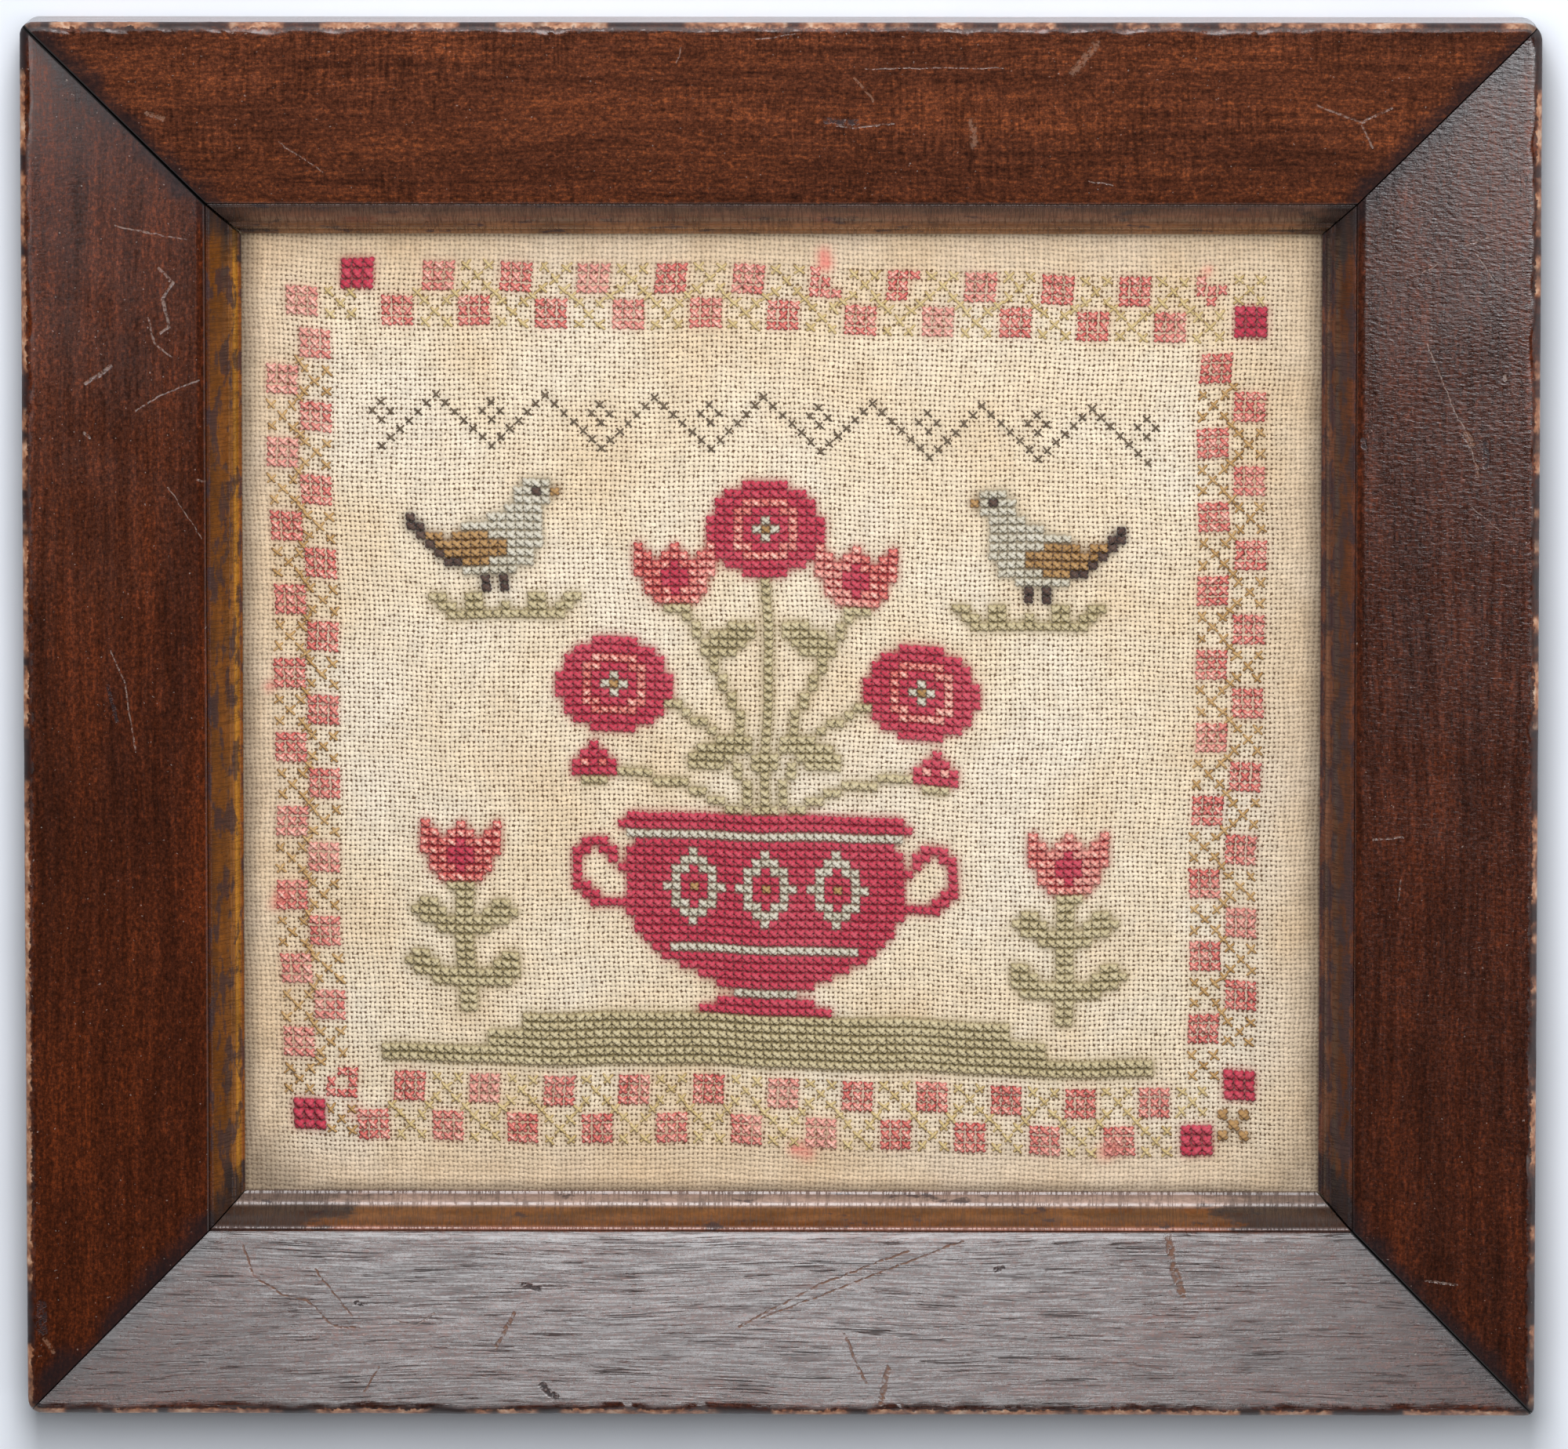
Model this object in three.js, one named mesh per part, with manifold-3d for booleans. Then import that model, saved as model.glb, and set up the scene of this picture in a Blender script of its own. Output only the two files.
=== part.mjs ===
// A framed cross stitch sampler, lying on its back: a mitred wooden frame with a wide bevel and
// a narrow sight moulding, a stitched sheet of open-weave cloth, and the thin board behind it.
// Millimetres. +X is the sampler's right, +Y its top, and +Z points out of its face.
// The origin is the middle of the back face.
import * as THREE from "three";
import { mergeVertices } from "three/addons/utils/BufferGeometryUtils.js";
import Module from "manifold-3d";

const wasm = await Module();
wasm.setup();

// ---- Driving dimensions ----

const FRAME_WIDTH = 335;
const FRAME_HEIGHT = 309.6;
const FRAME_DEPTH = 24; // at the outer edge, before its arris wore down
const RAIL_WIDTH = 40.3; // in plan, from the outer edge to the ridge
const RIDGE_DROP = 6.5; // the bevel falls this far from the outer edge to the ridge
const ARRIS_RADIUS = 1.7; // the worn outer edge
const MOULDING_WIDTH = 7.1;
const MOULDING_BOTTOM = 4.2; // height of its underside, which holds the cloth down
const FIT_GAP = 0.3; // between pieces that meet
const CLOTH_THICKNESS = 1;
const CLOTH_TUCK = 6.4; // the part of the cloth that lies under the moulding
const BOARD_THICKNESS = 2;
const BOARD_EDGE_CHAMFER = 0.5;

// The worn plan radius of each outer corner, and the width of its open mitre at the outer edge
// and at the sight edge.
const CORNERS = [
  { right: -1, up: 1, radius: 2.8, outerGap: 0.3, sightGap: 0.6 },
  { right: 1, up: 1, radius: 3.9, outerGap: 0.3, sightGap: 0.3 },
  { right: -1, up: -1, radius: 3.1, outerGap: 0.3, sightGap: 0.3 },
  { right: 1, up: -1, radius: 2, outerGap: 0.3, sightGap: 0.5 },
];

// The moulding's section above its underside, from the rail to the sight edge: a fillet, a groove,
// a broad ovolo that falls towards the cloth, and a thin lip.
const MOULDING_SECTION = [
  { inward: 0, height: 16.4 },
  { inward: 0.9, height: 15.9 },
  { inward: 1.15, height: 14.3 },
  { inward: 1.5, height: 13.9 },
  { inward: 1.8, height: 14.2 },
  { inward: 2.9, height: 13.7 },
  { inward: 3.9, height: 12.5 },
  { inward: 4.8, height: 10.8 },
  { inward: 5.5, height: 8.9 },
  { inward: 5.9, height: 7.2 },
  { inward: 6.3, height: 6.6 },
  { inward: 7.1, height: 6.2 },
];

// Soft ridges where the cloth stands off the board: the middle of each, its length and width,
// the turn of its length from +X, and its height.
const PUCKERS = [
  { x: 113, y: -58, length: 74, width: 5, turn: 90, rise: 0.7 },
  { x: -112, y: 12, length: 150, width: 8, turn: 91, rise: 0.35 },
  { x: -40, y: 84, length: 120, width: 16, turn: 4, rise: 0.3 },
  { x: 52, y: 66, length: 90, width: 13, turn: -7, rise: 0.35 },
  { x: -62, y: -20, length: 80, width: 15, turn: 74, rise: 0.3 },
  { x: 74, y: -12, length: 96, width: 14, turn: 98, rise: 0.35 },
  { x: 6, y: -96, length: 150, width: 9, turn: 2, rise: 0.4 },
  { x: 4, y: 100, length: 130, width: 7, turn: 1, rise: 0.3 },
];
const HELD_MARGIN = 6; // the moulding holds the cloth down over this width
const CLOTH_CELLS = { across: 42, up: 38 };
const CORNER_STEPS = 7;
const ARRIS_STEPS = 5;
const MERGE_DISTANCE = 1e-4;

const WALNUT = { color: 0x4a2214, roughness: 0.42, metalness: 0 };
const AMBER_WOOD = { color: 0x7a4a1e, roughness: 0.45, metalness: 0 };
const ECRU_CLOTH = { color: 0xe0cda6, roughness: 0.95, metalness: 0 };
const BROWN_BOARD = { color: 0x8a6a48, roughness: 0.85, metalness: 0 };

// ---- Sizes worked out from them ----

const HALF_WIDTH = FRAME_WIDTH / 2;
const HALF_HEIGHT = FRAME_HEIGHT / 2;
const MOULDING_INSET = RAIL_WIDTH + FIT_GAP;
const SIGHT_INSET = MOULDING_INSET + MOULDING_WIDTH;
const CLOTH_TOP = MOULDING_BOTTOM - FIT_GAP;
const CLOTH_BOTTOM = CLOTH_TOP - CLOTH_THICKNESS;
const BOARD_TOP = CLOTH_BOTTOM - FIT_GAP;
const SIGHT_HALF_WIDTH = HALF_WIDTH - SIGHT_INSET;
const SIGHT_HALF_HEIGHT = HALF_HEIGHT - SIGHT_INSET;

// ---- Shared shapes ----

// A solid from a closed geometry.
function solidOf(geometry) {
  const bare = geometry.clone();
  bare.deleteAttribute("normal");
  bare.deleteAttribute("uv");
  const merged = mergeVertices(bare, MERGE_DISTANCE);
  return new wasm.Manifold(
    new wasm.Mesh({
      numProp: 3,
      vertProperties: merged.attributes.position.array,
      triVerts: new Uint32Array(merged.index.array),
    }),
  );
}

// The geometry of a solid.
function geometryOf(solid) {
  const mesh = solid.getMesh();
  const geometry = new THREE.BufferGeometry();
  geometry.setAttribute("position", new THREE.BufferAttribute(mesh.vertProperties, 3));
  geometry.setIndex(new THREE.BufferAttribute(mesh.triVerts, 1));
  geometry.computeVertexNormals();
  return geometry;
}

// How far a strip's end draws back along its length at a corner, to leave the mitre's gap.
function drawBack(corner, inset) {
  const share = inset / SIGHT_INSET;
  const gap = corner.outerGap + (corner.sightGap - corner.outerGap) * share;
  return gap / Math.SQRT2;
}

// A straight strip with mitred ends. It lies along X with its outer face towards +Y, and its
// section is a list of points, each with its inset from the frame's outer edge and its height.
// reach is the half length of the frame along the strip, and out its half size across it.
// The section is extruded by 1, and then each end's points move to that end's mitre.
function mitredStrip(section, reach, out, leftCorner, rightCorner) {
  const outline = section.map((point) => new THREE.Vector2(point.inset, point.height));
  const strip = new THREE.ExtrudeGeometry(new THREE.Shape(outline), {
    depth: 1,
    bevelEnabled: false,
  });
  const position = strip.attributes.position;
  for (let i = 0; i < position.count; i++) {
    const inset = position.getX(i);
    const height = position.getY(i);
    const atLeft = position.getZ(i) > 0.5;
    const end = reach - inset - drawBack(atLeft ? leftCorner : rightCorner, inset);
    position.setXYZ(i, atLeft ? -end : end, out - inset, height);
  }
  return strip;
}

// The corner that lies right of or left of, and above or below, the middle.
function cornerAt(right, up) {
  return CORNERS.find((corner) => corner.right === right && corner.up === up);
}

// The four sides of the frame. A strip is made as for the top side and turned to its own.
const SIDES = [
  { name: "top", turn: 0, reach: HALF_WIDTH, out: HALF_HEIGHT, ends: [[-1, 1], [1, 1]] },
  { name: "left", turn: 90, reach: HALF_HEIGHT, out: HALF_WIDTH, ends: [[-1, -1], [-1, 1]] },
  { name: "bottom", turn: 180, reach: HALF_WIDTH, out: HALF_HEIGHT, ends: [[1, -1], [-1, -1]] },
  { name: "right", turn: 270, reach: HALF_HEIGHT, out: HALF_WIDTH, ends: [[1, 1], [1, -1]] },
];

// One side's strip, turned to where it lies.
function stripOn(side, section) {
  const [leftEnd, rightEnd] = side.ends.map(([right, up]) => cornerAt(right, up));
  const strip = mitredStrip(section, side.reach, side.out, leftEnd, rightEnd);
  return strip.rotateZ(THREE.MathUtils.degToRad(side.turn));
}

// ---- Rails ----

// The frame's whole outline, with its worn corners and the rounded arris along its top edge.
function outlineBody() {
  const shape = new THREE.Shape();
  const quarter = Math.PI / 2;
  const walk = [cornerAt(1, 1), cornerAt(-1, 1), cornerAt(-1, -1), cornerAt(1, -1)];
  walk.forEach((corner, i) => {
    const x = corner.right * (HALF_WIDTH - corner.radius);
    const y = corner.up * (HALF_HEIGHT - corner.radius);
    shape.absarc(x, y, corner.radius, i * quarter, (i + 1) * quarter, false);
  });
  shape.closePath();
  const body = new THREE.ExtrudeGeometry(shape, {
    depth: FRAME_DEPTH,
    curveSegments: CORNER_STEPS,
    bevelEnabled: true,
    bevelSegments: ARRIS_STEPS,
    bevelSize: ARRIS_RADIUS,
    bevelOffset: -ARRIS_RADIUS,
    bevelThickness: ARRIS_RADIUS,
  });
  return body.translate(0, 0, -ARRIS_RADIUS);
}

const RAIL_SECTION = [
  { inset: 0, height: 0 },
  { inset: 0, height: FRAME_DEPTH },
  { inset: RAIL_WIDTH, height: FRAME_DEPTH - RIDGE_DROP },
  { inset: RAIL_WIDTH, height: 0 },
];

function railGeometry(side) {
  const rail = solidOf(stripOn(side, RAIL_SECTION));
  return geometryOf(rail.intersect(solidOf(outlineBody())));
}

// ---- Sight moulding ----

function mouldingGeometry(side) {
  const top = MOULDING_SECTION.map(({ inward, height }) => ({
    inset: MOULDING_INSET + inward,
    height,
  }));
  const foot = [
    { inset: SIGHT_INSET, height: MOULDING_BOTTOM },
    { inset: MOULDING_INSET, height: MOULDING_BOTTOM },
  ];
  return geometryOf(solidOf(stripOn(side, [...top, ...foot])));
}

// ---- Cloth ----

// 1 where the cloth is free to rise, falling to 0 at the moulding.
function freedom(x, y) {
  const margin = Math.min(SIGHT_HALF_WIDTH - Math.abs(x), SIGHT_HALF_HEIGHT - Math.abs(y));
  return THREE.MathUtils.smoothstep(margin, 0, HELD_MARGIN);
}

// How far the cloth stands above where it is held.
function clothRise(x, y) {
  let rise = 0;
  for (const pucker of PUCKERS) {
    const turn = THREE.MathUtils.degToRad(pucker.turn);
    const dx = x - pucker.x;
    const dy = y - pucker.y;
    const along = dx * Math.cos(turn) + dy * Math.sin(turn);
    const across = dy * Math.cos(turn) - dx * Math.sin(turn);
    const reach = (2 * along) / pucker.length;
    const spread = (2 * across) / pucker.width;
    rise += pucker.rise * Math.exp(-reach * reach - spread * spread);
  }
  return rise * freedom(x, y);
}

// A closed sheet of even thickness over a grid of cells.
function clothGeometry() {
  const width = 2 * (SIGHT_HALF_WIDTH + CLOTH_TUCK);
  const height = 2 * (SIGHT_HALF_HEIGHT + CLOTH_TUCK);
  const { across, up } = CLOTH_CELLS;
  const sheet = new THREE.BoxGeometry(width, height, CLOTH_THICKNESS, across, up, 1);
  const position = sheet.attributes.position;
  for (let i = 0; i < position.count; i++) {
    const lift = CLOTH_BOTTOM + CLOTH_THICKNESS / 2;
    const z = position.getZ(i) + lift + clothRise(position.getX(i), position.getY(i));
    position.setZ(i, z);
  }
  return geometryOf(solidOf(sheet));
}

// ---- Backing board ----

function boardGeometry() {
  const halfWidth = HALF_WIDTH - RAIL_WIDTH - FIT_GAP;
  const halfHeight = HALF_HEIGHT - RAIL_WIDTH - FIT_GAP;
  const chamfer = BOARD_EDGE_CHAMFER;
  const shape = new THREE.Shape();
  shape.moveTo(-halfWidth, -halfHeight);
  shape.lineTo(halfWidth, -halfHeight);
  shape.lineTo(halfWidth, halfHeight);
  shape.lineTo(-halfWidth, halfHeight);
  shape.closePath();
  const board = new THREE.ExtrudeGeometry(shape, {
    depth: BOARD_THICKNESS - 2 * chamfer,
    bevelEnabled: true,
    bevelSegments: 1,
    bevelSize: chamfer,
    bevelOffset: -chamfer,
    bevelThickness: chamfer,
  });
  board.translate(0, 0, BOARD_TOP - BOARD_THICKNESS + chamfer);
  return geometryOf(solidOf(board));
}

// ---- The object ----

function named(name, geometry, look) {
  const mesh = new THREE.Mesh(geometry, new THREE.MeshStandardMaterial(look));
  mesh.name = name;
  return mesh;
}

const sampler = new THREE.Group();
for (const side of SIDES) {
  sampler.add(named(`rail_${side.name}`, railGeometry(side), WALNUT));
  sampler.add(named(`sight_${side.name}`, mouldingGeometry(side), AMBER_WOOD));
}
sampler.add(named("sampler_cloth", clothGeometry(), ECRU_CLOTH));
sampler.add(named("backing_board", boardGeometry(), BROWN_BOARD));

export default sampler;
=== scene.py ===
# The looks of a framed cross stitch sampler: worn veneered rails, a gilt-brown sight moulding, a
# loose even-weave cloth and its wool stitches. Sizes are in millimetres until a mesh is made.
import functools
import math

import bpy
import numpy as np
from mathutils import Matrix, Vector


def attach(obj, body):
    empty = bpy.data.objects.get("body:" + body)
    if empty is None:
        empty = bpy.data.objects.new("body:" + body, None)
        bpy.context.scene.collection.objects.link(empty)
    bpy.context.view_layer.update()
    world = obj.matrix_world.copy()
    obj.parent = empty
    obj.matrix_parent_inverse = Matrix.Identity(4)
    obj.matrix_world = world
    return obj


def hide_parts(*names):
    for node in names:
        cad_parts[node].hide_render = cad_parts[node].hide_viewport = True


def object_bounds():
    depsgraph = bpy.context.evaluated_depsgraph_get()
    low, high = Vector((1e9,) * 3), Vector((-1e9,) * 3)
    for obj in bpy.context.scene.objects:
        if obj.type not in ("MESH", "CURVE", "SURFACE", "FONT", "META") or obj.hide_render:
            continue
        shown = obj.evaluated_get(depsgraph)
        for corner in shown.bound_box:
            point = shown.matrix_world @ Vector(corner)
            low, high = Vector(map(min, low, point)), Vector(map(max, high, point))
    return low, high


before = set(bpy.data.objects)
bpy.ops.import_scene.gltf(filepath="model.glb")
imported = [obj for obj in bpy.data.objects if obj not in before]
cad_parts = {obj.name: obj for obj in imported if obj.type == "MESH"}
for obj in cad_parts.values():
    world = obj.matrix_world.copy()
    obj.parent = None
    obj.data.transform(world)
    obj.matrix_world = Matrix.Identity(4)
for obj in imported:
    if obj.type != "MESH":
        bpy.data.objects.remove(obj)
cad_low, cad_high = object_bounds()

MM = 0.001
rng = np.random.default_rng(1837)

# ---- Sizes: the solids' own, but for the moulding's finer section ----

FRAME_DEPTH = 24
RAIL_WIDTH = 40.3
RIDGE_DROP = 6.5
ARRIS_RADIUS = 1.7
MOULDING_WIDTH = 7.1
MOULDING_BOTTOM = 4.2
FIT_GAP = 0.3
CLOTH_THICKNESS = 1
CLOTH_TUCK = 6.4
HELD_MARGIN = 6
HALF_WIDTH = (cad_high.x - cad_low.x) / 2 / MM
HALF_HEIGHT = (cad_high.y - cad_low.y) / 2 / MM
MOULDING_INSET = RAIL_WIDTH + FIT_GAP
SIGHT_INSET = MOULDING_INSET + MOULDING_WIDTH
SIGHT_HALF_WIDTH = HALF_WIDTH - SIGHT_INSET
SIGHT_HALF_HEIGHT = HALF_HEIGHT - SIGHT_INSET
CLOTH_TOP = MOULDING_BOTTOM - FIT_GAP
ARRIS_FOOT = FRAME_DEPTH - 1.4 * ARRIS_RADIUS

OUTER_GAP = 0.3  # a mitre's gap at the outer edge
# Each corner's worn plan radius, and the width of its mitre's gap at the sight edge.
CORNERS = {(-1, 1): (2.8, 0.6), (1, 1): (3.9, 0.3), (-1, -1): (3.1, 0.3), (1, -1): (2, 0.5)}

# A side is made as for the top one and turned to its place. ends are its left and right corners.
SIDES = {
    "top": {"turn": 0, "reach": HALF_WIDTH, "out": HALF_HEIGHT, "ends": ((-1, 1), (1, 1))},
    "left": {"turn": 90, "reach": HALF_HEIGHT, "out": HALF_WIDTH, "ends": ((-1, -1), (-1, 1))},
    "bottom": {"turn": 180, "reach": HALF_WIDTH, "out": HALF_HEIGHT, "ends": ((1, -1), (-1, -1))},
    "right": {"turn": 270, "reach": HALF_HEIGHT, "out": HALF_WIDTH, "ends": ((1, 1), (1, -1))},
}

# The moulding's section: distance inward from the rail, and height above the frame's back. A step, a
# sloping face, a small bead and a lip. It is finer than the solid's.
MOULDING_SECTION = (
    (-0.2, 16.3), (0.1, 16.4), (0.5, 16.2), (0.85, 15.8), (1.25, 15.2), (1.8, 14.5), (2.4, 13.8), (3, 13),
    (3.6, 11.9), (4.05, 10.9), (4.3, 10.4), (4.55, 10.15), (5.15, 9.9), (5.5, 9.5), (5.8, 8.8),
    (6.1, 7.6), (6.3, 6.9), (6.5, 6.65), (7.1, 6.4),
)

# Soft ridges where the cloth stands off the board: middle, length, width, turn in degrees and rise.
PUCKERS = (
    (113, -58, 74, 5, 90, 0.7), (-112, 12, 150, 8, 91, 0.35), (-40, 84, 120, 16, 4, 0.3),
    (52, 66, 90, 13, -7, 0.35), (-62, -20, 80, 15, 74, 0.3), (74, -12, 96, 14, 98, 0.35),
    (6, -96, 150, 9, 2, 0.4), (4, 100, 130, 7, 1, 0.3),
)

# ---- Mesh helpers ----


def smooth_step(value, low, high):
    share = np.clip((value - low) / (high - low), 0, 1)
    return share * share * (3 - 2 * share)


def wander(at, wavelength, seed):
    """A smooth random line through the numbers at, about -1 to 1."""
    line = np.zeros(np.shape(at))
    local = np.random.default_rng(seed)
    for octave in range(3):
        for _ in range(3):
            turns = local.uniform(0.6, 1.6) * 2**octave / wavelength
            line += np.sin(2 * np.pi * (at * turns + local.uniform())) / 2**octave / 3
    return line


def make_piece(name, points, faces, material, attributes=(), sharp=None):
    """A mesh object that rides on the body. points are in mm; attributes hold a vector each."""
    mesh = bpy.data.meshes.new(name)
    mesh.from_pydata((np.asarray(points) * MM).tolist(), [], faces)
    for key, values in attributes:
        layer = mesh.attributes.new(key, "FLOAT_VECTOR", "POINT")
        layer.data.foreach_set("vector", np.asarray(values, np.float32).ravel())
    mesh.shade_smooth()
    if sharp is not None:
        mesh.set_sharp_from_angle(angle=math.radians(sharp))
    mesh.materials.append(material)
    piece = bpy.data.objects.new(name, mesh)
    bpy.context.scene.collection.objects.link(piece)
    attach(piece, "root")
    return piece


def grid_faces(rows, columns, closed=False, start=0, flip=False):
    """The quads of a grid of rows x columns points, its columns joined round where closed."""
    across = columns if closed else columns - 1
    i, j = np.meshgrid(np.arange(rows - 1), np.arange(across), indexing="ij")
    after = (j + 1) % columns
    corners = [i * columns + j, i * columns + after, (i + 1) * columns + after, (i + 1) * columns + j]
    if flip:
        corners.reverse()
    return (np.stack(corners, -1).reshape(-1, 4) + start).tolist()


# ---- Materials ----


def srgb(red, green, blue):
    """A colour from its 0 to 255 screen values."""
    def linear(value):
        share = value / 255
        return share / 12.92 if share <= 0.04045 else ((share + 0.055) / 1.055) ** 2.4

    return (linear(red), linear(green), linear(blue), 1)


def add_node(tree, kind, inputs, output=0, **settings):
    """Adds a shader node and gives one of its outputs as a Value."""
    made = tree.nodes.new(kind)
    for key, value in settings.items():
        setattr(made, key, value)
    for key, value in inputs.items():
        if isinstance(value, Value):
            tree.links.new(value.socket, made.inputs[key])
        else:
            made.inputs[key].default_value = value
    return Value(made.outputs[output]) if made.outputs else None


class Value:
    """What a shader node gives: a number, vector or colour. Working with it adds nodes. A constant
    colour is given by its screen values, and a place or size in millimetres."""

    def __init__(self, socket):
        self.socket = socket

    def node(self, kind, inputs, output=0, **settings):
        return add_node(self.socket.id_data, kind, inputs, output, **settings)

    def math(self, operation, *others, clamp=False):
        inputs = dict(enumerate((self, *others)))
        return self.node("ShaderNodeMath", inputs, operation=operation, use_clamp=clamp)

    def __add__(self, other):
        return self.math("ADD", other)

    def __sub__(self, other):
        return self.math("SUBTRACT", other)

    def __mul__(self, other):
        return self.math("MULTIPLY", other)

    def scaled(self, by, start):
        """This times by, plus start."""
        return self.math("MULTIPLY_ADD", by, start)

    def most(self, *others):
        """The largest of this and others."""
        return functools.reduce(lambda a, b: a.math("MAXIMUM", b), others, self)

    def least(self, *others):
        return functools.reduce(lambda a, b: a.math("MINIMUM", b), others, self)

    def vector(self, operation, *others, output=0):
        inputs = dict(enumerate((self, *others)))
        return self.node("ShaderNodeVectorMath", inputs, output, operation=operation)

    def beside(self, y, z):
        """The vector of this, y and z."""
        return self.node("ShaderNodeCombineXYZ", {0: self, 1: y, 2: z})

    def split(self):
        made = self.node("ShaderNodeSeparateXYZ", {0: self}).socket.node
        return [Value(output) for output in made.outputs]

    def noise(self, size=1.0, detail=2.0, roughness=0.5, output=0):
        inputs = {"Vector": self, "Scale": 1 / size, "Detail": detail, "Roughness": roughness}
        return self.node("ShaderNodeTexNoise", inputs, output)

    def step(self, low, high, start=0.0, end=1.0):
        """From start to end as this goes from low to high, eased."""
        inputs = {0: self, 1: low, 2: high, 3: start, 4: end}
        return self.node("ShaderNodeMapRange", inputs, interpolation_type="SMOOTHSTEP", clamp=True)

    def mixed(self, other, share, blend="MIX"):
        inputs = {0: share, 6: self, 7: other}
        return self.node("ShaderNodeMix", inputs, 2, data_type="RGBA", blend_type=blend)

    def painted(self, color, share):
        """This colour with a share of another over it."""
        return self.mixed(srgb(*color), share)

    def shaded(self, glow):
        return self.mixed(glow.beside(glow, glow), 1.0, "MULTIPLY")

    def ramp(self, *stops):
        """Each stop is a place from 0 to 1 and the colour there."""
        made = self.node("ShaderNodeValToRGB", {0: self}).socket.node
        elements = made.color_ramp.elements
        while len(elements) < len(stops):
            elements.new(0.5)
        for element, (position, color) in zip(elements, stops):
            element.position = position
            element.color = srgb(*color)
        return Value(made.outputs[0])


def summed(*shares):
    """The sum of values, each with its weight."""
    total = 0.0
    for value, weight in shares:
        total = value.scaled(weight, total)
    return total


def stretched(along, across, per_along, per_across, seed, **more):
    """Noise with so many features to the millimetre along and across."""
    return (along * per_along).beside(across * per_across, seed).noise(**more)


SHADER_INPUTS = {"polish": "IOR", "sheen": "Sheen Weight", "specular": "Specular IOR Level"}


class Look:
    """A material in the making."""

    def __init__(self, name):
        self.material = bpy.data.materials.new(name)
        self.material.use_nodes = True
        self.tree = self.material.node_tree
        self.tree.nodes.clear()

    def attribute(self, name):
        return add_node(self.tree, "ShaderNodeAttribute", {}, "Vector", attribute_name=name)

    def place(self):
        """The point on the object."""
        return add_node(self.tree, "ShaderNodeTexCoord", {}, "Object").vector("MULTIPLY", (1 / MM,) * 3)

    def finish(self, color, roughness, height=None, relief=0.0, **fixed):
        """Ends the material. height is a share of relief. fixed sets the shader's own values."""
        inputs = {"Base Color": color, "Roughness": roughness}
        inputs.update({SHADER_INPUTS[key]: value for key, value in fixed.items()})
        if height is not None:
            bump = {"Height": height, "Distance": relief * MM, "Strength": 1.0}
            inputs["Normal"] = add_node(self.tree, "ShaderNodeBump", bump)
        shader = add_node(self.tree, "ShaderNodeBsdfPrincipled", inputs)
        add_node(self.tree, "ShaderNodeOutputMaterial", {0: shader})
        return self.material


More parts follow.
